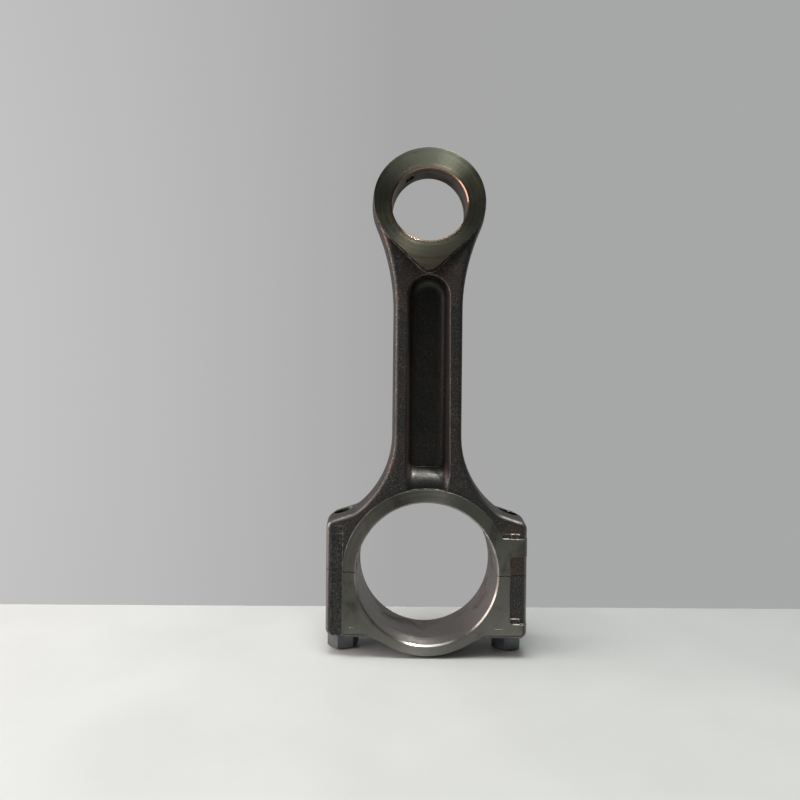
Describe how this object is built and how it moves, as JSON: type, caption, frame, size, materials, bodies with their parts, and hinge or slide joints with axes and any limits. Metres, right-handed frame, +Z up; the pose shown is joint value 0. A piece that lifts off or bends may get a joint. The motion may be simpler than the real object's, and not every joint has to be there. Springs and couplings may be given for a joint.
{
  "type": "connecting rod",
  "caption": "Forged I-section connecting rod with a fracture-split big end, its bearing cap and cap screws, and a bushed, wedge-shaped small end.",
  "frame": {"origin": "centre of the big-end bore", "axes": "+Z up the shank to the small end, Y along both bores, X across through the two screw bosses"},
  "size_m": [0.0802, 0.026, 0.202],
  "materials": {
    "forged_steel": "dark oiled forging skin with machined, tarnished faces and bores",
    "bronze": "dull, oil-stained bearing bronze",
    "screw_steel": "phosphated, blue-black"
  },
  "bodies": {
    "rod": {"rod_forging": "forged_steel", "small_end_bush": "bronze"},
    "cap": {"bearing_cap": "forged_steel"},
    "screw_left": {"cap_screw_left": "screw_steel"},
    "screw_right": {"cap_screw_right": "screw_steel"}
  },
  "joints": [
    {"name": "cap_lift", "type": "slide", "parent": "rod", "child": "cap", "axis": [0, 0, -1], "range_m": [0, 0.04]},
    {"name": "screw_left_draw", "type": "slide", "parent": "cap", "child": "screw_left", "axis": [0, 0, -1], "range_m": [0, 0.045]},
    {"name": "screw_right_draw", "type": "slide", "parent": "cap", "child": "screw_right", "axis": [0, 0, -1], "range_m": [0, 0.045]}
  ]
}
